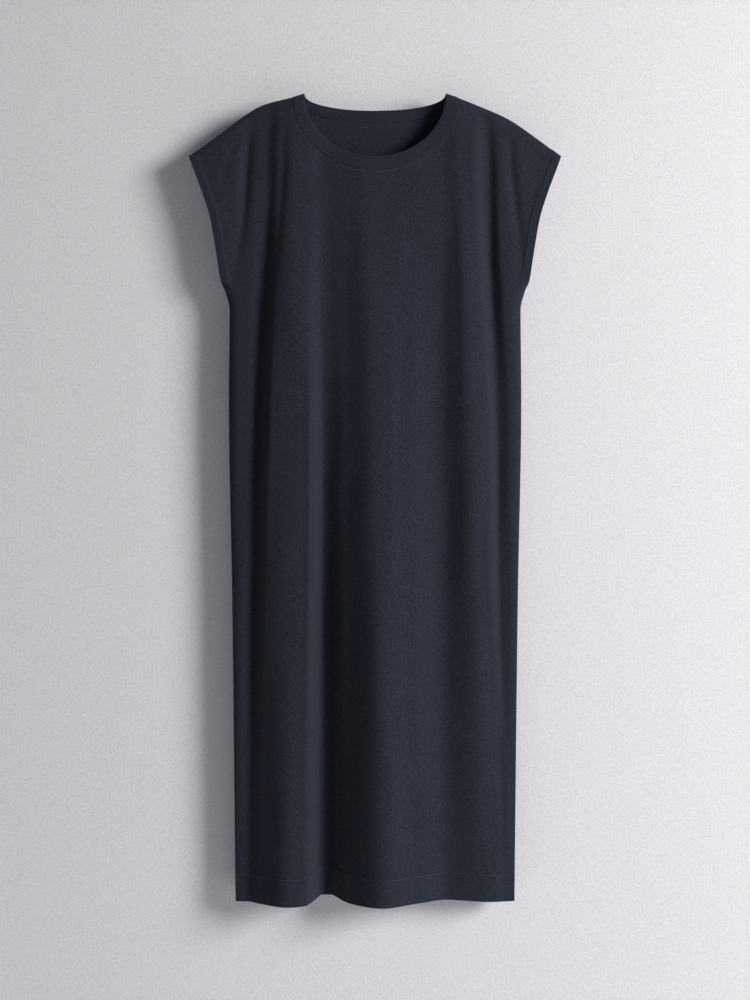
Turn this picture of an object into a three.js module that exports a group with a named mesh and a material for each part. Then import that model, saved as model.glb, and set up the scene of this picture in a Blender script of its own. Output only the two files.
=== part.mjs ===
// A sleeveless jersey midi dress, hanging open and hollow from its two shoulders.
//
// Three cut pieces are modelled: a front panel and a back panel, each cut in one with its short cap
// sleeves, and a folded neck band sewn round the neckline. Millimetres, +Z up, +X to the viewer's
// right, -Y towards the viewer. The origin lies midway between the neck ends of the two shoulders,
// at the height of the band's highest points, where a pair of shoulders carries the dress.
//
// Each panel is a wall of cloth on a surface that stands out from the middle plane of the dress.
// Named fold lines run down it, crests and valleys, and a level section is a smooth curve through
// the fold lines at that height. Towards a seam the surface rolls in to meet the other panel.

import * as THREE from "three";

const { clamp, degToRad, lerp, smoothstep } = THREE.MathUtils;

// ---- Driving sizes ----------------------------------------------------------------------------

const HEM_Z = -1180; // hem edge below the neck ends of the shoulders
const YOKE_Z = -330; // above this the rows of the mesh follow the neckline and the shoulders
const SLEEVE_END_Z = -92; // where the shoulder seam ends, at the corner of the cap sleeve
const UNDERARM_Z = -282; // where the armhole ends and the side seam begins

const CLOTH = 1.2; // one layer of jersey
const TURNED = 2.2; // two layers, where an edge is turned in and stitched
const SEAM_GAP = 0.3; // between two pieces that are sewn together
const HEM_TURN = 40; // depth of the turned hem
const ARMHOLE_TURN = 12; // depth of the turned armhole edge
const TURN_STEP = 3; // distance in which the cloth goes from one layer to two
const STEEPEST = 2.4; // most that a steep wall is thickened along Y to keep its true thickness

const NECK_HALF_WIDTH = 119; // middle to the band's seam, at the shoulder
const NECK_CORNER_Z = -5; // height of the band's seam at the shoulder
const BAND_HALF_WIDTH = 103; // middle to the band's free edge, at the shoulder
const BAND_THICKNESS = 2.4; // folded double
const BAND_CROWN = 0.5; // how far the middle of the band stands proud
const BAND_LEAN = 0.88; // depth of the free edge as a share of the depth of the seam
const BAND_SEAM_SPACE = 0.75; // room between band and panel, so that their corners keep the gap

const ROLL_DEPTH = 6; // how far the cloth stands out once it has rolled away from a seam
const ROLL_REACH = 14; // distance from the seam in which it does so
const DRAPE_REACH = 38; // how quickly the folds open below the shoulder
const ARMHOLE_GAPE = 4; // how much further each armhole edge stands out, half way down

const YOKE_ROWS = 11;
const YOKE_CROWDING = 1.6; // crowds the yoke's rows towards the shoulder
const SKIRT_ROWS = 11;
const OUTER_COLUMNS = 8; // from the neck to the armhole's turned edge, on each side
const NECK_SHARE = 0.5; // share of the skirt's half width below the neckline's columns

// ---- Tables -----------------------------------------------------------------------------------

// Half the width of the dress, as seen from the front, from the sleeve corner to the hem.
const SIDE = [
  { z: SLEEVE_END_Z, half: 272 },
  { z: -111, half: 265 },
  { z: -140, half: 254 },
  { z: -184, half: 240 },
  { z: -243, half: 230 },
  { z: -275, half: 225 },
  { z: -290, half: 219 },
  { z: -316, half: 213 },
  { z: -448, half: 214 },
  { z: -741, half: 209 },
  { z: HEM_Z, half: 204 },
];

// The shoulder seams. Each turns down more steeply past the point that carries it.
const LEFT_SHOULDER = [
  { x: -272, z: SLEEVE_END_Z },
  { x: -225, z: -58 },
  { x: -184, z: -28 },
  { x: -164, z: -17 },
  { x: -NECK_HALF_WIDTH, z: NECK_CORNER_Z },
];
const RIGHT_SHOULDER = [
  { x: NECK_HALF_WIDTH, z: NECK_CORNER_Z },
  { x: 186, z: -33 },
  { x: 204, z: -43 },
  { x: 238, z: -67 },
  { x: 272, z: SLEEVE_END_Z },
];

// The heights at which the fold tables state where a fold line runs and how far it stands out.
const COURSE_LEVELS = { xHem: HEM_Z, xWaist: -520, xChest: -155 };
const DEPTH_LEVELS = { hem: HEM_Z, thigh: -800, waist: -520, underarm: -300, chest: -155 };

// Fold lines of the front, left to right as seen from the front. The x columns say where a line
// runs. The others say how far the cloth stands in front of the middle plane on that line.
const FRONT_FOLDS = [
  { line: "left roll", xChest: -176, xWaist: -188, xHem: -199, chest: 9, underarm: 9,
    waist: 8, thigh: 6, hem: 4 },
  { line: "left step foot", xChest: -156, xWaist: -171, xHem: -187, chest: 8, underarm: 5,
    waist: 3.5, thigh: 4, hem: 3.5 },
  { line: "left step top", xChest: -138, xWaist: -152, xHem: -168, chest: 17, underarm: 23,
    waist: 25, thigh: 21, hem: 15 },
  { line: "left crest", xChest: -119, xWaist: -119, xHem: -124, chest: 20, underarm: 27,
    waist: 29, thigh: 32, hem: 35 },
  { line: "left crest edge", xChest: -98, xWaist: -97, xHem: -102, chest: 19.5, underarm: 25,
    waist: 28, thigh: 29, hem: 31 },
  { line: "left valley", xChest: -75, xWaist: -76, xHem: -74, chest: 16, underarm: 15,
    waist: 5, thigh: -8, hem: -12 },
  { line: "valley rise", xChest: -48, xWaist: -44, xHem: -41, chest: 17.5, underarm: 19,
    waist: 18, thigh: 15, hem: 13 },
  { line: "centre crest", xChest: -15, xWaist: 0, xHem: 14, chest: 20, underarm: 27,
    waist: 32, thigh: 38, hem: 42 },
  { line: "centre fall", xChest: 50, xWaist: 50, xHem: 64, chest: 18, underarm: 21,
    waist: 23, thigh: 25, hem: 21 },
  { line: "right valley", xChest: 97, xWaist: 98, xHem: 106, chest: 14, underarm: 11,
    waist: 9, thigh: 7, hem: 5 },
  { line: "right crest", xChest: 122, xWaist: 138, xHem: 156, chest: 18, underarm: 21,
    waist: 21, thigh: 18, hem: 11 },
  { line: "right fall", xChest: 145, xWaist: 163, xHem: 178, chest: 16, underarm: 15,
    waist: 15, thigh: 11, hem: 8 },
  { line: "right trough", xChest: 161, xWaist: 180, xHem: 190, chest: 6, underarm: 1.5,
    waist: 2.5, thigh: 4, hem: 5 },
  { line: "right roll", xChest: 180, xWaist: 198, xHem: 199, chest: 11, underarm: 8,
    waist: 6.5, thigh: 5, hem: 4 },
];

// Fold lines of the back, left to right as seen from the front, standing out behind the plane.
const BACK_FOLDS = [
  { line: "left crest", xChest: -180, xWaist: -172, xHem: -172, chest: 9, underarm: 13,
    waist: 19, thigh: 22, hem: 23 },
  { line: "left blade valley", xChest: -128, xWaist: -126, xHem: -130, chest: 8, underarm: 8,
    waist: 7, thigh: 7, hem: 6 },
  { line: "inner left crest", xChest: -66, xWaist: -70, xHem: -76, chest: 12, underarm: 16,
    waist: 21, thigh: 25, hem: 28 },
  { line: "centre valley", xChest: -4, xWaist: -2, xHem: 4, chest: 10, underarm: 9, waist: 8,
    thigh: 9, hem: 10 },
  { line: "inner right crest", xChest: 70, xWaist: 62, xHem: 62, chest: 12, underarm: 15,
    waist: 20, thigh: 25, hem: 28 },
  { line: "right blade valley", xChest: 124, xWaist: 116, xHem: 116, chest: 8, underarm: 8,
    waist: 9, thigh: 8, hem: 6 },
  { line: "right crest", xChest: 178, xWaist: 166, xHem: 164, chest: 10, underarm: 14,
    waist: 19, thigh: 23, hem: 25 },
];

// Slanting drag lines that fan from the carrying points. out is negative, as they are troughs.
const FRONT_DRAGS = [
  { drag: "left shoulder", x0: -176, z0: -34, x1: -213, z1: -300, width: 10, out: -4 },
  { drag: "right shoulder", x0: 196, z0: -56, x1: 214, z1: -292, width: 10, out: -3 },
];
const BACK_DRAGS = [
  { drag: "left shoulder", x0: -178, z0: -36, x1: -206, z1: -300, width: 10, out: -4 },
  { drag: "right shoulder", x0: 194, z0: -52, x1: 206, z1: -310, width: 10, out: -4 },
];

// Where the hem edge rises above its level, as the cloth is drawn into a fold.
const FRONT_HEM_LIFTS = [
  { x: -70, lift: 8, width: 22 },
  { x: 95, lift: 3, width: 70 },
];
const BACK_HEM_LIFTS = [{ x: 4, lift: 3, width: 60 }];

// The two panels. side is the way each faces along Y. The drops are measured down from the
// shoulder to the band's seam and to its free edge, at the centre.
const FRONT = { side: -1, seamDrop: 108, freeDrop: 95, folds: FRONT_FOLDS, drags: FRONT_DRAGS,
  hemLifts: FRONT_HEM_LIFTS };
const BACK = { side: 1, seamDrop: 33, freeDrop: 22, folds: BACK_FOLDS, drags: BACK_DRAGS,
  hemLifts: BACK_HEM_LIFTS };

// Mesh columns along a quarter of the neckline, in degrees from the shoulder to the centre.
const NECK_TURNS = [0, 3, 7, 13, 22, 33, 45, 57, 68, 79, 90];

// ---- Smooth curves through table rows -----------------------------------------------------------

// The slope of the curve at one knot, chosen so that it never swings past its knots.
function slopeAt(knots, values, k) {
  const secant = (j) => (values[j + 1] - values[j]) / (knots[j + 1] - knots[j]);
  const before = secant(Math.max(k - 1, 0));
  const after = secant(Math.min(k, knots.length - 2));
  return before * after > 0 ? (2 * before * after) / (before + after) : 0;
}

// The value at a place among rising knots. Beyond the first and the last knot it stays level.
function curve(knots, values, place) {
  const at = clamp(place, knots[0], knots[knots.length - 1]);
  const high = Math.max(1, knots.findIndex((knot) => knot >= at));
  const low = high - 1;
  const span = knots[high] - knots[low];
  const t = (at - knots[low]) / span;
  const rise = values[high] - values[low];
  const start = slopeAt(knots, values, low) * span;
  const end = slopeAt(knots, values, high) * span;
  return values[low] + t * (start + t * (3 * rise - 2 * start - end + t * (start + end - 2 * rise)));
}

// A curve through table rows: one column gives the knots, in rising order, another the values.
const columnCurve = (rows, from, to, place) =>
  curve(rows.map((row) => row[from]), rows.map((row) => row[to]), place);

// One fold line's value at height z. levels names the row's columns with their heights, rising.
const atHeight = (row, levels, z) =>
  curve(Object.values(levels), Object.keys(levels).map((name) => row[name]), z);

// ---- The outline of the panels ------------------------------------------------------------------

const SIDE_RISING = [...SIDE].reverse();
const halfWidth = (z) => columnCurve(SIDE_RISING, "z", "half", z);

function shoulderZ(x) {
  if (Math.abs(x) <= NECK_HALF_WIDTH) return NECK_CORNER_Z;
  return columnCurve(x < 0 ? LEFT_SHOULDER : RIGHT_SHOULDER, "x", "z", x);
}

// The upper edge of a panel: the neckline, half an ellipse, and the shoulder seams beside it.
function topZ(panel, x) {
  const across = Math.min(1, Math.abs(x) / NECK_HALF_WIDTH);
  return shoulderZ(x) - panel.seamDrop * Math.sqrt(1 - across * across);
}

function hemZ(panel, x) {
  const lifts = panel.hemLifts.map((h) => h.lift * Math.exp(-(((x - h.x) / h.width) ** 2)));
  return HEM_Z + lifts.reduce((sum, lift) => sum + lift, 0);
}

// ---- The surface of the cloth -------------------------------------------------------------------

// The distance from a point to the nearest seam that joins the two panels.
function seamDistance(x, z) {
  const fromSide = Math.hypot(halfWidth(z) - Math.abs(x), Math.max(0, z - UNDERARM_Z));
  return Math.max(0, Math.min(fromSide, shoulderZ(x) - z));
}

// How far an armhole edge stands out beyond the roll. Below the underarm there is no armhole.
function armholeGape(z) {
  const along = clamp((SLEEVE_END_Z - z) / (SLEEVE_END_Z - UNDERARM_Z), 0, 1);
  return ARMHOLE_GAPE * Math.sin(Math.PI * along);
}

// The depth of the drag lines at a point.
function dragDepth(drags, x, z) {
  const depths = drags.map((d) => {
    const along = clamp((d.z0 - z) / (d.z0 - d.z1), 0, 1);
    const off = (x - lerp(d.x0, d.x1, along)) / d.width;
    return d.out * Math.sin(Math.PI * Math.sqrt(along)) * Math.exp(-off * off);
  });
  return depths.reduce((sum, depth) => sum + depth, 0);
}

// How far the inner face of a panel stands out from the middle plane at a point.
function standOff(panel, x, z) {
  const edge = halfWidth(z);
  const courses = panel.folds.map((fold) => atHeight(fold, COURSE_LEVELS, z));
  const depths = panel.folds.map((fold) => atHeight(fold, DEPTH_LEVELS, z) - ROLL_DEPTH);
  const gape = armholeGape(z);
  const folds = curve([-edge, ...courses, edge], [gape, ...depths, gape], x);
  const drape = 1 - Math.exp(-Math.max(0, shoulderZ(x) - z) / DRAPE_REACH);
  const inward = Math.max(0, 1 - seamDistance(x, z) / ROLL_REACH);
  const roll = ROLL_DEPTH * Math.sqrt(1 - inward * inward);
  const sewn = Math.min(1, seamDistance(x, z) / ROLL_REACH);
  return roll + drape * (folds + sewn * dragDepth(panel.drags, x, z));
}

// The thickness of the cloth at a point: double in the turned hem and the armholes' turned edges.
function thickness(panel, x, z) {
  const hem = 1 - smoothstep(z - hemZ(panel, x), HEM_TURN, HEM_TURN + TURN_STEP);
  const fromEdge = halfWidth(z) - Math.abs(x);
  const inTurn = 1 - smoothstep(fromEdge, ARMHOLE_TURN, ARMHOLE_TURN + TURN_STEP);
  const armhole = z > UNDERARM_Z ? inTurn : 0;
  return lerp(CLOTH, TURNED, Math.max(hem, armhole));
}

// The points on the inner and the outer face of a panel, at one place.
function facePoints(panel, x, z) {
  const step = 1;
  const slopeX = (standOff(panel, x + step, z) - standOff(panel, x - step, z)) / (2 * step);
  const slopeZ = (standOff(panel, x, z + step) - standOff(panel, x, z - step)) / (2 * step);
  const steep = Math.min(STEEPEST, Math.hypot(1, slopeX, slopeZ));
  const inner = SEAM_GAP / 2 + standOff(panel, x, z);
  const outer = inner + steep * thickness(panel, x, z);
  return {
    inner: new THREE.Vector3(x, panel.side * inner, z),
    outer: new THREE.Vector3(x, panel.side * outer, z),
  };
}

// ---- The grid of a panel ------------------------------------------------------------------------

// Columns of the right half, from the centre out. top is a column's place along the upper edge and
// skirt its place below the yoke, both as shares of the half width there.
function halfColumns() {
  const sleeve = SIDE[0].half;
  const turn = ARMHOLE_TURN / sleeve;
  const neck = [...NECK_TURNS].reverse().map((degrees, k) => ({
    top: (NECK_HALF_WIDTH / sleeve) * Math.cos(degToRad(degrees)),
    skirt: (NECK_SHARE * k) / (NECK_TURNS.length - 1),
  }));
  const turnStart = 1 - turn - TURN_STEP / sleeve;
  const outer = Array.from({ length: OUTER_COLUMNS }, (_, k) => ({
    top: lerp(NECK_HALF_WIDTH / sleeve, turnStart, (k + 1) / OUTER_COLUMNS),
    skirt: lerp(NECK_SHARE, turnStart, (k + 1) / OUTER_COLUMNS),
  }));
  return [...neck, ...outer, { top: 1 - turn, skirt: 1 - turn }, { top: 1, skirt: 1 }];
}

function panelColumns() {
  const right = halfColumns();
  const left = right.slice(1).reverse().map(({ top, skirt }) => ({ top: -top, skirt: -skirt }));
  return [...left, ...right];
}

// One column's places down the panel, as { x, z }, from the upper edge to the hem.
function columnPlaces(panel, column) {
  const top = topZ(panel, column.top * SIDE[0].half);
  const hem = hemZ(panel, column.skirt * SIDE[SIDE.length - 1].half);
  const turnZ = hem + HEM_TURN;
  const yoke = Array.from({ length: YOKE_ROWS }, (_, j) => {
    const down = (j / YOKE_ROWS) ** YOKE_CROWDING;
    const z = lerp(top, YOKE_Z, down);
    return { x: lerp(column.top, column.skirt, down) * halfWidth(z), z };
  });
  const levels = Array.from({ length: SKIRT_ROWS + 1 }, (_, j) =>
    lerp(YOKE_Z, turnZ + TURN_STEP, j / SKIRT_ROWS));
  const skirt = [...levels, turnZ, hem].map((z) => ({ x: column.skirt * halfWidth(z), z }));
  return [...yoke, ...skirt];
}

// ---- Meshes -------------------------------------------------------------------------------------

function geometryFrom(points, triangles) {
  const geometry = new THREE.BufferGeometry().setFromPoints(points);
  geometry.setIndex(triangles.flat());
  geometry.computeVertexNormals();
  return geometry;
}

// A closed wall between two grids of points, given as columns. The rim joins their four edges.
function wall(outer, inner, facesFront) {
  const columns = outer.length;
  const rows = outer[0].length;
  const onOuter = (c, r) => c * rows + r;
  const onInner = (c, r) => onOuter(c, r) + columns * rows;
  const triangles = [];
  const quad = (a, b, c, d) => triangles.push([a, b, c], [a, c, d]);
  for (let c = 0; c + 1 < columns; c += 1) {
    for (let r = 0; r + 1 < rows; r += 1) {
      quad(onOuter(c, r), onOuter(c + 1, r), onOuter(c + 1, r + 1), onOuter(c, r + 1));
      quad(onInner(c, r), onInner(c, r + 1), onInner(c + 1, r + 1), onInner(c + 1, r));
    }
  }
  const rim = (c0, r0, c1, r1) =>
    quad(onOuter(c1, r1), onOuter(c0, r0), onInner(c0, r0), onInner(c1, r1));
  for (let c = 0; c + 1 < columns; c += 1) {
    rim(c, 0, c + 1, 0);
    rim(c + 1, rows - 1, c, rows - 1);
  }
  for (let r = 0; r + 1 < rows; r += 1) {
    rim(columns - 1, r, columns - 1, r + 1);
    rim(0, r + 1, 0, r);
  }
  if (facesFront) triangles.forEach((triangle) => triangle.reverse());
  return geometryFrom([...outer.flat(), ...inner.flat()], triangles);
}

function panelGeometry(panel) {
  const columns = panelColumns().map((column) =>
    columnPlaces(panel, column).map(({ x, z }) => facePoints(panel, x, z)));
  const faces = (name) => columns.map((column) => column.map((point) => point[name]));
  return wall(faces("outer"), faces("inner"), panel.side < 0);
}

// The stations of the neck band along one panel, right to left, without the shoulders. Each has a
// point at the seam, in the middle of the panel's wall, and one at the band's free edge.
function bandStations(panel) {
  const half = NECK_TURNS.slice(1);
  const turns = [...half, ...half.slice(0, -1).reverse().map((degrees) => 180 - degrees)];
  return turns.map((degrees) => {
    const along = Math.cos(degToRad(degrees));
    const down = Math.sin(degToRad(degrees));
    const x = NECK_HALF_WIDTH * along;
    const { inner, outer } = facePoints(panel, x, topZ(panel, x));
    const seam = inner.lerp(outer, 0.5);
    const free = new THREE.Vector3(BAND_HALF_WIDTH * along, seam.y * BAND_LEAN, -panel.freeDrop * down);
    return { seam, free };
  });
}

function shoulderStation(side) {
  return {
    seam: new THREE.Vector3(side * NECK_HALF_WIDTH, 0, NECK_CORNER_Z),
    free: new THREE.Vector3(side * BAND_HALF_WIDTH, 0, -BAND_THICKNESS / 2),
  };
}

// The band's cross-section: across runs from the seam to the free edge, out to the outside.
function bandSection(width) {
  const half = BAND_THICKNESS / 2;
  return [
    { across: BAND_SEAM_SPACE, out: -half },
    { across: width - half, out: -half },
    { across: width, out: 0 },
    { across: width - half, out: half },
    { across: width / 2, out: half + BAND_CROWN },
    { across: BAND_SEAM_SPACE, out: half },
  ];
}

// The band is a closed ring of sections, one to a station, square to its course.
function neckBandGeometry() {
  const stations = [shoulderStation(1), ...bandStations(FRONT), shoulderStation(-1),
    ...bandStations(BACK).reverse()];
  const count = stations.length;
  const points = stations.flatMap(({ seam, free }, k) => {
    const ahead = stations[(k + 1) % count].seam;
    const behind = stations[(k + count - 1) % count].seam;
    const course = ahead.clone().sub(behind);
    const across = free.clone().sub(seam).normalize();
    const out = course.cross(across).normalize();
    return bandSection(seam.distanceTo(free)).map((corner) =>
      seam.clone().addScaledVector(across, corner.across).addScaledVector(out, corner.out));
  });
  const corners = bandSection(1).length;
  const triangles = [];
  for (let k = 0; k < count; k += 1) {
    for (let j = 0; j < corners; j += 1) {
      const here = k * corners;
      const next = ((k + 1) % count) * corners;
      const up = (j + 1) % corners;
      triangles.push([here + j, next + up, next + j], [here + j, here + up, next + up]);
    }
  }
  return geometryFrom(points, triangles);
}

// ---- Materials and the finished part --------------------------------------------------------------

const jersey = () => new THREE.MeshStandardMaterial({ color: 0x323742, roughness: 0.92, metalness: 0 });
const bandJersey = () => new THREE.MeshStandardMaterial({ color: 0x2f343f, roughness: 0.9, metalness: 0 });

function piece(name, geometry, material) {
  const mesh = new THREE.Mesh(geometry, material);
  mesh.name = name;
  return mesh;
}

const dress = new THREE.Group();
dress.name = "jersey_dress";
dress.add(
  piece("front_panel", panelGeometry(FRONT), jersey()),
  piece("back_panel", panelGeometry(BACK), jersey()),
  piece("neck_band", neckBandGeometry(), bandJersey()),
);

export default dress;
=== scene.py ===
"""The looks of the jersey midi dress: cloth, band, stitching, cloth material, light and camera.

Sizes are in millimetres in the row frame, +Z up, and become metres when a mesh is made. The panels
use the same folds as the part's solids, on a finer grid, with the small creases added.
"""

import math

import bpy
import numpy as np
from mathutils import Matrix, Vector


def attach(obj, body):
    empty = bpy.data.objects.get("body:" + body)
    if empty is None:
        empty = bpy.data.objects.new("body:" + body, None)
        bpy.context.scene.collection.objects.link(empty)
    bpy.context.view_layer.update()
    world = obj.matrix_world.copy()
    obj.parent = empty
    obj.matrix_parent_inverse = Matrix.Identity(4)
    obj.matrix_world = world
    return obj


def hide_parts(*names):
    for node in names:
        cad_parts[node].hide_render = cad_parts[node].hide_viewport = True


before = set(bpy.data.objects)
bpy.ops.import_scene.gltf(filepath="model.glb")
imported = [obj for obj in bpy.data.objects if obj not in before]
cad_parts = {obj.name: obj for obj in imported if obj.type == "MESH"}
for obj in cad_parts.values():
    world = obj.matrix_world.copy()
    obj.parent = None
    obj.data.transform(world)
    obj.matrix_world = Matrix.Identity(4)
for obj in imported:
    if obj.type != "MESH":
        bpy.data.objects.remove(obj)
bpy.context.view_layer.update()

# ---- Sizes ---------------------------------------------------------------------------------------
MM = 0.001
HEM_Z, YOKE_Z, SLEEVE_END_Z, UNDERARM_Z = -1180.0, -330.0, -92.0, -282.0
CLOTH, TURNED = 1.2, 2.2
SEAM_GAP = 0.3
HEM_TURN, ARMHOLE_TURN, TURN_STEP = 40.0, 12.0, 2.0
STEEPEST = 2.4
NECK_HALF_WIDTH, NECK_CORNER_Z, BAND_HALF_WIDTH = 119.0, -5.0, 103.0
BAND_THICKNESS, BAND_CROWN, BAND_LEAN = 2.4, 0.7, 0.88
BAND_TUCK = -0.8  # the band starts this far inside the panels' edge, so that no light shows through
ROLL_DEPTH, ROLL_REACH, DRAPE_REACH, ARMHOLE_GAPE = 6.0, 14.0, 38.0, 4.0
SLEEVE_HALF = 272.0

NECK_COLUMNS, OUTER_COLUMNS = 50, 46  # grid columns on each half, under the neck and beside it
YOKE_ROWS, SKIRT_ROWS, HEM_ROWS = 90, 118, 10
NECK_SHARE = 0.5

STITCH_LENGTH, STITCH_PITCH, STITCH_RADIUS = 2.6, 3.6, 0.32
STITCH_SIDES = 6
WAVE_BANDS = 3.18  # bands of Blender's wave texture to a metre, at a scale of one
CREASE_SWAY = 0.35  # how far a crease wanders, as a share of its width
NECK_STITCH_OFFSET = 5.0

# ---- Tables --------------------------------------------------------------------------------------
SIDE = [  # z, half the width
    (SLEEVE_END_Z, SLEEVE_HALF), (-111, 265), (-140, 254), (-184, 240), (-243, 230), (-275, 225),
    (-290, 219), (-316, 213), (-448, 214), (-741, 209), (HEM_Z, 204),
]
# The shoulder seams: x, z.
LEFT_SHOULDER = [(-272, -92), (-225, -58), (-184, -28), (-164, -17), (-119, -5)]
RIGHT_SHOULDER = [(119, -5), (186, -33), (204, -43), (238, -67), (272, -92)]

# Fold lines: name, where each runs (x at the chest, waist and hem), and how far it stands out
# at the chest, underarm, waist, thigh and hem.
COURSE_LEVELS = (-155.0, -520.0, HEM_Z)
DEPTH_LEVELS = (-155.0, -300.0, -520.0, -800.0, HEM_Z)
FRONT_FOLDS = [
    ("left roll", -176, -188, -199, 9, 9, 8, 6, 4),
    ("left step foot", -156, -171, -187, 8, 5, 3.5, 4, 3.5),
    ("left step top", -138, -152, -168, 17, 23, 25, 21, 15),
    ("left crest", -119, -119, -124, 20, 27, 29, 32, 35),
    ("left crest edge", -98, -97, -102, 19.5, 25, 28, 29, 31),
    ("left valley", -75, -76, -74, 16, 15, 5, -8, -12),
    ("valley rise", -48, -44, -41, 17.5, 19, 18, 15, 13),
    ("centre crest", -15, 0, 14, 20, 27, 32, 38, 42),
    ("centre fall", 50, 50, 64, 18, 21, 23, 25, 21),
    ("right valley", 97, 98, 106, 14, 11, 9, 7, 5),
    ("right crest", 122, 138, 156, 18, 21, 21, 18, 11),
    ("right fall", 145, 163, 178, 16, 15, 15, 11, 8),
    ("right trough", 161, 180, 190, 6, 1.5, 2.5, 4, 5),
    ("right roll", 180, 198, 199, 11, 8, 6.5, 5, 4),
]
BACK_FOLDS = [
    ("left crest", -180, -172, -172, 9, 13, 19, 22, 23),
    ("left blade valley", -128, -126, -130, 8, 8, 7, 7, 6),
    ("inner left crest", -66, -70, -76, 12, 16, 21, 25, 28),
    ("centre valley", -4, -2, 4, 10, 9, 8, 9, 10),
    ("inner right crest", 70, 62, 62, 12, 15, 20, 25, 28),
    ("right blade valley", 124, 116, 116, 8, 8, 9, 8, 6),
    ("right crest", 178, 166, 164, 10, 14, 19, 23, 25),
]

# Creases: name, upper end (x, z), lower end (x, z), half width, and depth, below zero in a trough.
FRONT_CREASES = [
    ("left shoulder drag", -178, -34, -210, -300, 8, -5.5),
    ("left inner drag", -132, -50, -150, -380, 6, -3.0),
    ("left sleeve drag", -192, -44, -240, -175, 7, -1.6),
    ("right shoulder drag", 198, -60, 214, -292, 7, -4.4),
    ("right inner drag", 164, -40, 182, -420, 6, -3.2),
    ("right chest drag", 112, -120, 122, -560, 8, -1.2),
    ("neck left drop", -60, -104, -70, -420, 10, -1.0),
    ("neck right drop", 44, -112, 52, -520, 12, -0.9),
    ("valley left lip", -94, -420, -97, -1175, 6, 1.8),
    ("valley right lip", -52, -560, -56, -1175, 8, 1.2),
    ("left hip", -168, -620, -176, -1130, 7, -1.4),
    ("right thigh", 160, -600, 198, -1120, 6, 1.8),
    ("right hip", 178, -520, 186, -980, 6, -1.3),
    ("centre fine", 20, -300, 34, -900, 9, 0.8),
]
BACK_CREASES = [
    ("left shoulder drag", -178, -36, -206, -300, 8, -4.2),
    ("right shoulder drag", 194, -52, 206, -310, 8, -4.2),
    ("left blade drag", -150, -60, -138, -360, 9, -2.4),
    ("right blade drag", 152, -64, 134, -400, 9, -2.2),
    ("left neck drop", -52, -40, -48, -420, 12, -1.4),
    ("right neck drop", 46, -40, 40, -360, 12, -1.2),
    ("left seat", -104, -520, -98, -1120, 9, 1.6),
    ("right seat", 92, -480, 88, -1170, 9, 1.5),
    ("centre fine", 22, -380, 18, -1000, 8, -1.1),
]
FRONT_HEM_LIFTS = [(-70, 8, 22), (95, 3, 70)]  # x, lift, width
BACK_HEM_LIFTS = [(4, 3, 60)]


class Panel:
    """One panel: the way it faces along Y, its neckline drops, folds, creases and hem lifts."""

    def __init__(self, side, seam_drop, free_drop, folds, creases, hem_lifts):
        self.side, self.seam_drop, self.free_drop = side, seam_drop, free_drop
        self.folds = np.array([row[1:] for row in folds], dtype=float)
        self.creases, self.hem_lifts = creases, hem_lifts


FRONT = Panel(-1, 108.0, 95.0, FRONT_FOLDS, FRONT_CREASES, FRONT_HEM_LIFTS)
BACK = Panel(1, 33.0, 22.0, BACK_FOLDS, BACK_CREASES, BACK_HEM_LIFTS)


# ---- Smooth curves -------------------------------------------------------------------------------
def curve(knots, values, at):
    """Monotone cubic through knots (n, or n by points) at the places in at, one for each point."""
    at = np.asarray(at, dtype=float)
    shape = (len(values), at.size)
    k = np.broadcast_to(np.asarray(knots, float).reshape(len(values), -1), shape)
    v = np.broadcast_to(np.asarray(values, float).reshape(len(values), -1), shape)
    span, rise = np.diff(k, axis=0), np.diff(v, axis=0)
    secant = rise / span
    before = np.vstack([secant[:1], secant])
    after = np.vstack([secant, secant[-1:]])
    product, total = before * after, before + after
    safe = np.where(product > 0, total, 1.0)
    slope = np.where(product > 0, 2 * product / safe, 0.0)
    flat = np.clip(at.ravel(), k[0], k[-1])
    low = np.clip((k <= flat).sum(axis=0) - 1, 0, len(values) - 2)
    point = np.arange(flat.size)
    h, r = span[low, point], rise[low, point]
    t = (flat - k[low, point]) / h
    start, end = slope[low, point] * h, slope[low + 1, point] * h
    out = v[low, point] + t * (start + t * (3 * r - 2 * start - end + t * (start + end - 2 * r)))
    return out.reshape(at.shape)


def table_curve(rows, at):
    rows = sorted(rows)
    return curve([row[0] for row in rows], [row[1] for row in rows], at)


def fold_values(columns, levels, z):
    """Each fold line's value at each height: an array of lines by points."""
    return np.array([curve(levels[::-1], row[::-1], z).ravel() for row in columns])


def smoothstep(value, low, high):
    t = np.clip((value - low) / (high - low), 0, 1)
    return t * t * (3 - 2 * t)


# ---- The outline ---------------------------------------------------------------------------------
def half_width(z):
    return table_curve(SIDE, z)


def shoulder_z(x):
    left, right = table_curve(LEFT_SHOULDER, x), table_curve(RIGHT_SHOULDER, x)
    return np.where(np.abs(x) <= NECK_HALF_WIDTH, NECK_CORNER_Z, np.where(x < 0, left, right))


def top_z(panel, x):
    across = np.minimum(1, np.abs(x) / NECK_HALF_WIDTH)
    return shoulder_z(x) - panel.seam_drop * np.sqrt(1 - across**2)


def hem_z(panel, x):
    return HEM_Z + sum(lift * np.exp(-(((x - at) / width) ** 2)) for at, lift, width in panel.hem_lifts)


# ---- The surface ---------------------------------------------------------------------------------
def seam_distance(x, z):
    side = np.hypot(half_width(z) - np.abs(x), np.maximum(0, z - UNDERARM_Z))
    return np.maximum(0, np.minimum(side, shoulder_z(x) - z))


def armhole_gape(z):
    along = np.clip((SLEEVE_END_Z - z) / (SLEEVE_END_Z - UNDERARM_Z), 0, 1)
    return ARMHOLE_GAPE * np.sin(np.pi * along)


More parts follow.
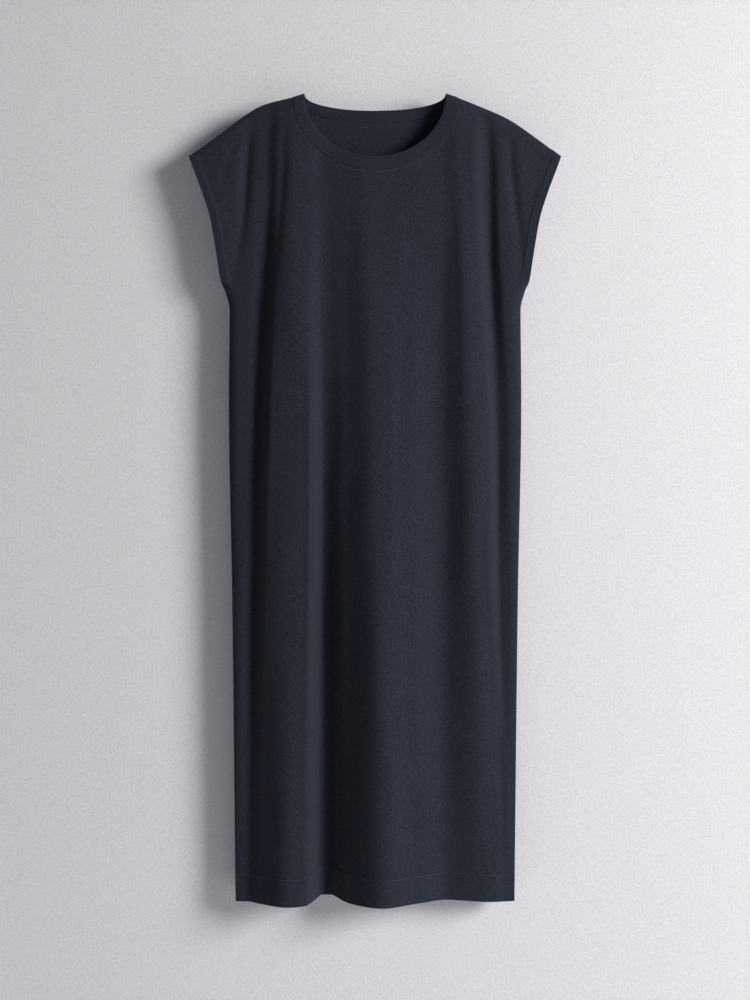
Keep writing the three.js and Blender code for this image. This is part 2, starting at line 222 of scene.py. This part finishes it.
def crease_depth(creases, x, z):
    total = np.zeros_like(x)
    for _, x0, z0, x1, z1, width, out in creases:
        along = np.clip((z0 - z) / (z0 - z1), 0, 1)
        bend = CREASE_SWAY * width * np.sin(2 * np.pi * along + x0)
        off = (x - (x0 + (x1 - x0) * along) - bend) / width
        total += out * np.sin(np.pi * np.sqrt(along)) * np.exp(-off * off)
    return total


def ripples(panel, x, z):
    """Shallow unevenness of hanging jersey, mostly upright, different on the two panels."""
    phase = 1.7 if panel.side < 0 else 4.1
    long = 0.55 * np.sin(x / 17.0 + 1.6 * np.sin(z / 210.0 + phase) + phase)
    short = 0.28 * np.sin(x / 8.3 - z / 160.0 + 2.1 * np.sin(z / 96.0 + 2 * phase))
    level = 0.22 * np.sin(z / 31.0 + 2.0 * np.sin(x / 54.0 + phase))
    return long + short + level


def stand_off(panel, x, z):
    flat_x, flat_z = np.ravel(x), np.ravel(z)
    edge, gape = half_width(flat_z), armhole_gape(flat_z)
    courses = fold_values(panel.folds[:, :3], COURSE_LEVELS, flat_z)
    depths = fold_values(panel.folds[:, 3:], DEPTH_LEVELS, flat_z) - ROLL_DEPTH
    knots = np.vstack([-edge, courses, edge])
    folds = curve(knots, np.vstack([gape, depths, gape]), flat_x)
    drape = 1 - np.exp(-np.maximum(0, shoulder_z(flat_x) - flat_z) / DRAPE_REACH)
    near = np.minimum(1, seam_distance(flat_x, flat_z) / ROLL_REACH)
    roll = ROLL_DEPTH * np.sqrt(1 - (1 - near) ** 2)
    small = crease_depth(panel.creases, flat_x, flat_z) + ripples(panel, flat_x, flat_z)
    return (roll + drape * (folds + near * small)).reshape(np.shape(x))


def thickness(panel, x, z):
    hem = 1 - smoothstep(z - hem_z(panel, x), HEM_TURN, HEM_TURN + TURN_STEP)
    from_edge = half_width(z) - np.abs(x)
    in_turn = 1 - smoothstep(from_edge, ARMHOLE_TURN, ARMHOLE_TURN + TURN_STEP)
    armhole = np.where(z > UNDERARM_Z, in_turn, 0)
    return CLOTH + (TURNED - CLOTH) * np.maximum(hem, armhole)


def face_points(panel, x, z):
    """Points on the inner and on the outer face of a panel."""
    step = 1.0
    slope_x = (stand_off(panel, x + step, z) - stand_off(panel, x - step, z)) / (2 * step)
    slope_z = (stand_off(panel, x, z + step) - stand_off(panel, x, z - step)) / (2 * step)
    steep = np.minimum(STEEPEST, np.sqrt(1 + slope_x**2 + slope_z**2))
    inner = SEAM_GAP / 2 + stand_off(panel, x, z)
    outer = inner + steep * thickness(panel, x, z)
    return (np.stack([x, panel.side * inner, z], -1), np.stack([x, panel.side * outer, z], -1))


# ---- Grids and meshes ----------------------------------------------------------------------------
def half_columns():
    """Each column's share of the half width, along the upper edge and down the skirt."""
    turns = np.linspace(0, 1, NECK_COLUMNS + 1)
    crowded = 90 * (0.35 * turns + 0.65 * (1 - (1 - turns) ** 2))
    neck_top = NECK_HALF_WIDTH / SLEEVE_HALF * np.sin(np.radians(crowded))
    outward = np.linspace(0, 1, OUTER_COLUMNS + 1)[1:]
    outward = 0.55 * outward + 0.45 * (1 - (1 - outward) ** 2)
    top = NECK_HALF_WIDTH / SLEEVE_HALF
    return (np.concatenate([neck_top, top + (1 - top) * outward]),
            np.concatenate([NECK_SHARE * turns, NECK_SHARE + (1 - NECK_SHARE) * outward]))


def panel_places(panel):
    """The x and z of every grid point, as columns by rows."""
    top, skirt = half_columns()
    top = np.concatenate([-top[:0:-1], top])[:, None]
    skirt = np.concatenate([-skirt[:0:-1], skirt])[:, None]
    upper = top_z(panel, top * SLEEVE_HALF)
    hem = hem_z(panel, skirt * SIDE[-1][1])
    down = (np.arange(YOKE_ROWS) / YOKE_ROWS)[None, :] ** 1.7
    yoke_z = upper + (YOKE_Z - upper) * down
    yoke_x = (top + (skirt - top) * down) * half_width(yoke_z)
    turn_top = hem + HEM_TURN + TURN_STEP
    skirt_z = YOKE_Z + (turn_top - YOKE_Z) * (np.arange(SKIRT_ROWS) / SKIRT_ROWS)[None, :]
    hem_part = np.concatenate([[1, 0.95], np.linspace(0.9, 0, HEM_ROWS)])[None, :]
    lower_z = hem + (HEM_TURN + TURN_STEP) * hem_part
    z = np.concatenate([yoke_z, skirt_z, lower_z], axis=1)
    x = np.concatenate([yoke_x, skirt * half_width(skirt_z), skirt * half_width(lower_z)], axis=1)
    return x, z


def mesh_object(name, points, faces, smooth=True):
    mesh = bpy.data.meshes.new(name)
    mesh.from_pydata((np.asarray(points) * MM).tolist(), [], faces)
    mesh.validate()
    mesh.polygons.foreach_set("use_smooth", [smooth] * len(mesh.polygons))
    obj = bpy.data.objects.new(name, mesh)
    bpy.context.scene.collection.objects.link(obj)
    return obj


def grid_quads(columns, rows, offset, flip):
    c, r = np.meshgrid(np.arange(columns - 1), np.arange(rows - 1), indexing="ij")
    a = (c * rows + r + offset).ravel()
    quads = np.stack([a, a + rows, a + rows + 1, a + 1], -1)
    return quads[:, ::-1] if flip else quads


def panel_object(name, panel):
    x, z = panel_places(panel)
    inner, outer = face_points(panel, x, z)
    columns, rows = x.shape
    count = columns * rows
    front = panel.side < 0
    faces = [grid_quads(columns, rows, 0, front), grid_quads(columns, rows, count, not front)]
    c, r = np.arange(columns), np.arange(rows)
    loop = np.concatenate([c[:-1] * rows, (columns - 1) * rows + r[:-1],
                           c[:0:-1] * rows + rows - 1, r[:0:-1]])
    ahead = np.roll(loop, -1)
    rim = np.stack([ahead, loop, loop + count, ahead + count], -1)
    faces.append(rim[:, ::-1] if front else rim)
    points = np.concatenate([outer.reshape(-1, 3), inner.reshape(-1, 3)])
    obj = mesh_object(name, points, np.concatenate(faces).tolist())
    obj.data.set_sharp_from_angle(angle=math.radians(55))
    return obj


# ---- The neck band -------------------------------------------------------------------------------
def neck_frames():
    """Stations round the neckline: seam point, free-edge point and outward direction at each."""
    quarter = 90 * np.linspace(0, 1, 41)[1:] ** 1.35
    turns = np.radians(np.concatenate([quarter, 180 - quarter[-2::-1]]))

    def along(panel, angles):
        x = NECK_HALF_WIDTH * np.cos(angles)
        inner, outer = face_points(panel, x, top_z(panel, x))
        seam = (inner + outer) / 2
        free = np.stack([BAND_HALF_WIDTH * np.cos(angles), seam[:, 1] * BAND_LEAN,
                         -panel.free_drop * np.sin(angles)], -1)
        return seam, free

    def shoulder(side):
        return (np.array([[side * NECK_HALF_WIDTH, 0, NECK_CORNER_Z]]),
                np.array([[side * BAND_HALF_WIDTH, 0, -BAND_THICKNESS / 2]]))

    parts = [shoulder(1), along(FRONT, turns), shoulder(-1), along(BACK, turns[::-1])]
    seam, free = (np.concatenate([part[k] for part in parts]) for k in (0, 1))
    course = np.roll(seam, -1, axis=0) - np.roll(seam, 1, axis=0)
    across = (free - seam) / np.linalg.norm(free - seam, axis=1, keepdims=True)
    out = np.cross(course, across)
    return seam, free, across, out / np.linalg.norm(out, axis=1, keepdims=True)


def band_section(width):
    """The folded strip's outline: (across, out) pairs, round at the fold and a little crowned."""
    half = BAND_THICKNESS / 2
    fold = [(width - half + half * math.cos(a), half * math.sin(a))
            for a in np.linspace(-math.pi / 2, math.pi / 2, 7)]
    flat = width - half - BAND_TUCK
    crown = [(BAND_TUCK + flat * t, half + BAND_CROWN * math.sin(math.pi * t))
             for t in (0.85, 0.7, 0.5, 0.3, 0.15)]
    return [(BAND_TUCK, -half), (width / 2, -half), *fold, *crown, (BAND_TUCK, half)]


def band_object(name):
    seam, free, across, out = neck_frames()
    points = []
    for s, f, a, o in zip(seam, free, across, out):
        for reach, lift in band_section(float(np.linalg.norm(f - s))):
            points.append(s + a * reach + o * lift)
    corners, count = len(band_section(1.0)), len(seam)
    faces = []
    for k in range(count):
        for j in range(corners):
            here, ahead, up = k * corners, (k + 1) % count * corners, (j + 1) % corners
            faces.append((here + j, here + up, ahead + up, ahead + j))
    obj = mesh_object(name, points, faces)
    obj.data.set_sharp_from_angle(angle=math.radians(50))
    return obj


# ---- Stitching -----------------------------------------------------------------------------------
def on_surface(panel, x, z):
    """Points on the outer face of a panel."""
    return face_points(panel, x, z)[1]


def even_places(path, pitch):
    """Pairs of points, one pair to a stitch, at an even pitch along a path of points."""
    length = np.concatenate([[0], np.cumsum(np.linalg.norm(np.diff(path, axis=0), axis=1))])
    starts = np.arange(pitch / 2, length[-1] - STITCH_LENGTH, pitch)
    at = lambda places: np.stack([np.interp(places, length, path[:, k]) for k in range(3)], -1)
    return at(starts), at(starts + STITCH_LENGTH)


def stitches(name, paths):
    """Short round stitches, sunk by half into the cloth, joined into one object."""
    points, faces = [], []
    for path in paths:
        for start, end in zip(*even_places(path, STITCH_PITCH)):
            axis = end - start
            side = np.cross(axis, (0, 1, 0))
            side /= np.linalg.norm(side)
            up = np.cross(side, axis)
            up /= np.linalg.norm(up)
            base = len(points)
            for t, radius in ((0, 0.35), (0.2, 1), (0.8, 1), (1, 0.35)):
                for angle in np.arange(0, 2 * math.pi, 2 * math.pi / STITCH_SIDES):
                    ring = (side * math.cos(angle) + up * math.sin(angle)) * STITCH_RADIUS * radius
                    points.append(start + axis * t + ring)
            for ring in range(3):
                first = base + ring * STITCH_SIDES
                for j in range(STITCH_SIDES):
                    a, b = first + j, first + (j + 1) % STITCH_SIDES
                    faces.append((a, b, b + STITCH_SIDES, a + STITCH_SIDES))
            last = base + 3 * STITCH_SIDES
            faces.append(tuple(range(base + STITCH_SIDES - 1, base - 1, -1)))
            faces.append(tuple(range(last, last + STITCH_SIDES)))
    return mesh_object(name, points, faces)


def neck_stitch_path(panel):
    """A line round the panel's neckline, outside the band's seam."""
    angles = np.radians(np.linspace(8, 172, 160))
    grow = NECK_STITCH_OFFSET
    x = (NECK_HALF_WIDTH + grow) * np.cos(angles)
    z = NECK_CORNER_Z - (panel.seam_drop + grow) * np.sin(angles)
    return on_surface(panel, x, z)


def armhole_stitch_path(panel, side):
    z = np.linspace(SLEEVE_END_Z - 12, UNDERARM_Z + 4, 90)
    return on_surface(panel, side * (half_width(z) - ARMHOLE_TURN + 0.8), z)


def hem_stitch_path(panel):
    x = np.linspace(-200, 200, 320)
    return on_surface(panel, x, hem_z(panel, x) + HEM_TURN - 1.0)


# ---- Materials -----------------------------------------------------------------------------------
def new_material(name):
    material = bpy.data.materials.new(name)
    material.use_nodes = True
    tree = material.node_tree
    tree.nodes.clear()
    output = tree.nodes.new("ShaderNodeOutputMaterial")
    shader = tree.nodes.new("ShaderNodeBsdfPrincipled")
    tree.links.new(shader.outputs[0], output.inputs[0])
    return material, tree, shader


def set_ramp(ramp, dark, light):
    """Spread the two colours over the middle of a noise's range."""
    first, last = ramp.color_ramp.elements
    first.position, first.color = 0.3, (*dark, 1)
    last.position, last.color = 0.7, (*light, 1)


def jersey(name, dark, light, wale=0.0011, bump=0.25, sheen=0.05):
    """Fine jersey: upright wales crossed by courses, a soft heather, pilling and a slight sheen."""
    material, tree, shader = new_material(name)
    node = tree.nodes.new
    link = tree.links.new
    place = node("ShaderNodeTexCoord")
    heather = node("ShaderNodeTexNoise")
    heather.inputs["Scale"].default_value = 420
    heather.inputs["Detail"].default_value = 6
    link(place.outputs["Object"], heather.inputs["Vector"])
    ramp = node("ShaderNodeValToRGB")
    set_ramp(ramp, dark, light)
    link(heather.outputs[0], ramp.inputs[0])
    link(ramp.outputs[0], shader.inputs["Base Color"])
    wales = node("ShaderNodeTexWave")
    wales.bands_direction = "X"
    wales.inputs["Scale"].default_value = 1 / wale / WAVE_BANDS
    courses = node("ShaderNodeTexWave")
    courses.bands_direction = "Z"
    courses.inputs["Scale"].default_value = 1 / (0.8 * wale) / WAVE_BANDS
    for wave in (wales, courses):
        wave.inputs["Distortion"].default_value = 1.2
        wave.inputs["Detail"].default_value = 1
        link(place.outputs["Object"], wave.inputs["Vector"])
    knit = node("ShaderNodeMath")
    knit.operation = "MULTIPLY"
    link(wales.outputs["Fac"], knit.inputs[0])
    link(courses.outputs["Fac"], knit.inputs[1])
    pile = node("ShaderNodeMath")
    pile.operation = "ADD"
    link(knit.outputs[0], pile.inputs[0])
    link(heather.outputs[0], pile.inputs[1])
    relief = node("ShaderNodeBump")
    relief.inputs["Strength"].default_value = bump
    relief.inputs["Distance"].default_value = 0.0006
    link(pile.outputs[0], relief.inputs["Height"])
    link(relief.outputs[0], shader.inputs["Normal"])
    shader.inputs["Roughness"].default_value = 0.93
    shader.inputs["Specular IOR Level"].default_value = 0.12
    shader.inputs["Sheen Weight"].default_value = sheen
    shader.inputs["Sheen Roughness"].default_value = 0.6
    return material


def thread(name, colour):
    material, tree, shader = new_material(name)
    twist = tree.nodes.new("ShaderNodeTexNoise")
    twist.inputs["Scale"].default_value = 900
    ramp = tree.nodes.new("ShaderNodeValToRGB")
    ramp.color_ramp.elements[0].color = (*[0.7 * c for c in colour], 1)
    ramp.color_ramp.elements[1].color = (*colour, 1)
    tree.links.new(twist.outputs[0], ramp.inputs[0])
    tree.links.new(ramp.outputs[0], shader.inputs["Base Color"])
    shader.inputs["Roughness"].default_value = 0.6
    return material


# ---- The pieces ----------------------------------------------------------------------------------
def dress_up(obj, material):
    obj.data.materials.append(material)
    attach(obj, "root")
    return obj


cloth = jersey("jersey", (0.0112, 0.0142, 0.0228), (0.0262, 0.0318, 0.0480))
band_cloth = jersey("band_jersey", (0.0110, 0.0139, 0.0222), (0.0255, 0.0308, 0.0465), 0.0010, 0.3)
stitch_thread = thread("thread", (0.040, 0.047, 0.064))

front = dress_up(panel_object("front_cloth", FRONT), cloth)
back = dress_up(panel_object("back_cloth", BACK), cloth)
band = dress_up(band_object("band_cloth"), band_cloth)
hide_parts("front_panel")
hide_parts("back_panel")
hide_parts("neck_band")


def stitched(panel, name):
    paths = [neck_stitch_path(panel), hem_stitch_path(panel),
             armhole_stitch_path(panel, -1), armhole_stitch_path(panel, 1)]
    return dress_up(stitches(name, paths), stitch_thread)


front_stitches = stitched(FRONT, "front_stitches")
back_stitches = stitched(BACK, "back_stitches")


# ---- Stage, light and camera ---------------------------------------------------------------------
WALL_Y, FLOOR_Z = 0.036, -1.75


def wall_material():
    """Pale matt wall that lets light and a camera through from behind."""
    material, tree, shader = new_material("wall_paint")
    shader.inputs["Roughness"].default_value = 0.95
    grain = tree.nodes.new("ShaderNodeTexNoise")
    grain.inputs["Scale"].default_value = 330
    grain.inputs["Detail"].default_value = 5
    place = tree.nodes.new("ShaderNodeTexCoord")
    tree.links.new(place.outputs["Object"], grain.inputs["Vector"])
    paint = tree.nodes.new("ShaderNodeValToRGB")
    set_ramp(paint, (0.70, 0.705, 0.735), (0.85, 0.85, 0.87))
    tree.links.new(grain.outputs[0], paint.inputs[0])
    tree.links.new(paint.outputs[0], shader.inputs["Base Color"])
    clear = tree.nodes.new("ShaderNodeBsdfTransparent")
    side = tree.nodes.new("ShaderNodeNewGeometry")
    ray = tree.nodes.new("ShaderNodeLightPath")
    either = tree.nodes.new("ShaderNodeMath")
    either.operation = "MAXIMUM"
    tree.links.new(side.outputs["Backfacing"], either.inputs[0])
    tree.links.new(ray.outputs["Is Shadow Ray"], either.inputs[1])
    mix = tree.nodes.new("ShaderNodeMixShader")
    tree.links.new(either.outputs[0], mix.inputs[0])
    tree.links.new(shader.outputs[0], mix.inputs[1])
    tree.links.new(clear.outputs[0], mix.inputs[2])
    output = next(n for n in tree.nodes if n.type == "OUTPUT_MATERIAL")
    tree.links.new(mix.outputs[0], output.inputs[0])
    return material


def flat_stage(name, corners, material):
    obj = mesh_object(name, np.array(corners) / MM, [(0, 1, 2, 3)], smooth=False)
    obj.data.materials.append(material)
    return obj


def area_light(name, place, target, size, power, colour=(1, 1, 1), spread=180):
    data = bpy.data.lights.new(name, "AREA")
    data.shape, data.size, data.energy, data.color = "DISK", size, power, colour
    data.spread = math.radians(spread)
    obj = bpy.data.objects.new(name, data)
    obj.location = place
    obj.rotation_euler = (Vector(target) - Vector(place)).to_track_quat("-Z", "Y").to_euler()
    bpy.context.scene.collection.objects.link(obj)
    return obj


wall_corners = [(-6, WALL_Y, FLOOR_Z), (6, WALL_Y, FLOOR_Z), (6, WALL_Y, 4), (-6, WALL_Y, 4)]
flat_stage("wall", wall_corners, wall_material())
floor_paint, _, floor_shader = new_material("floor_paint")
floor_shader.inputs["Base Color"].default_value = (0.60, 0.60, 0.615, 1)
floor_shader.inputs["Roughness"].default_value = 0.9
floor_corners = [(-6, -6, FLOOR_Z), (6, -6, FLOOR_Z), (6, 6, FLOOR_Z), (-6, 6, FLOOR_Z)]
flat_stage("floor", floor_corners, floor_paint)

KEY_AZIMUTH = math.radians(57)  # from the front towards the viewer's right
KEY_RISE, KEY_DISTANCE, KEY_POWER = 0.33, 4.2, 186
KEY_BASE, KEY_TARGET = Vector((0, 0, -0.9)), (0, 0, -0.75)
key_direction = Vector((math.sin(KEY_AZIMUTH), -math.cos(KEY_AZIMUTH), KEY_RISE)).normalized()
key_place = tuple(key_direction * KEY_DISTANCE + KEY_BASE)
area_light("key", key_place, KEY_TARGET, 1.7, KEY_POWER, (1.0, 0.975, 0.965))
area_light("fill", (-2.2, -3.2, 0.6), (0, 0, -0.6), 2.6, 3, (0.85, 0.92, 1.0))
area_light("rear", (-1.2, 3.6, 0.3), (0, 0, -0.5), 1.4, 42, spread=62)



def room_light(strength, seen):
    """A dim, even light, which looks pale where the camera sees it."""
    world = bpy.data.worlds.new("room")
    world.use_nodes = True
    tree = world.node_tree
    background = tree.nodes["Background"]
    background.inputs[0].default_value = (0.84, 0.91, 1.0, 1)
    ray = tree.nodes.new("ShaderNodeLightPath")
    level = tree.nodes.new("ShaderNodeMapRange")
    level.inputs["To Min"].default_value = strength
    level.inputs["To Max"].default_value = seen
    tree.links.new(ray.outputs["Is Camera Ray"], level.inputs[0])
    tree.links.new(level.outputs[0], background.inputs[1])
    bpy.context.scene.world = world


room_light(0.08, 0.7)
bpy.context.scene.view_settings.view_transform = "Standard"

camera_data = bpy.data.cameras.new("camera")
camera_data.lens, camera_data.sensor_width = 50, 36
camera = bpy.data.objects.new("camera", camera_data)
camera.location = (0, -2.033, -0.594)
camera.rotation_euler = (math.pi / 2, 0, 0)
bpy.context.scene.collection.objects.link(camera)
bpy.context.scene.camera = camera
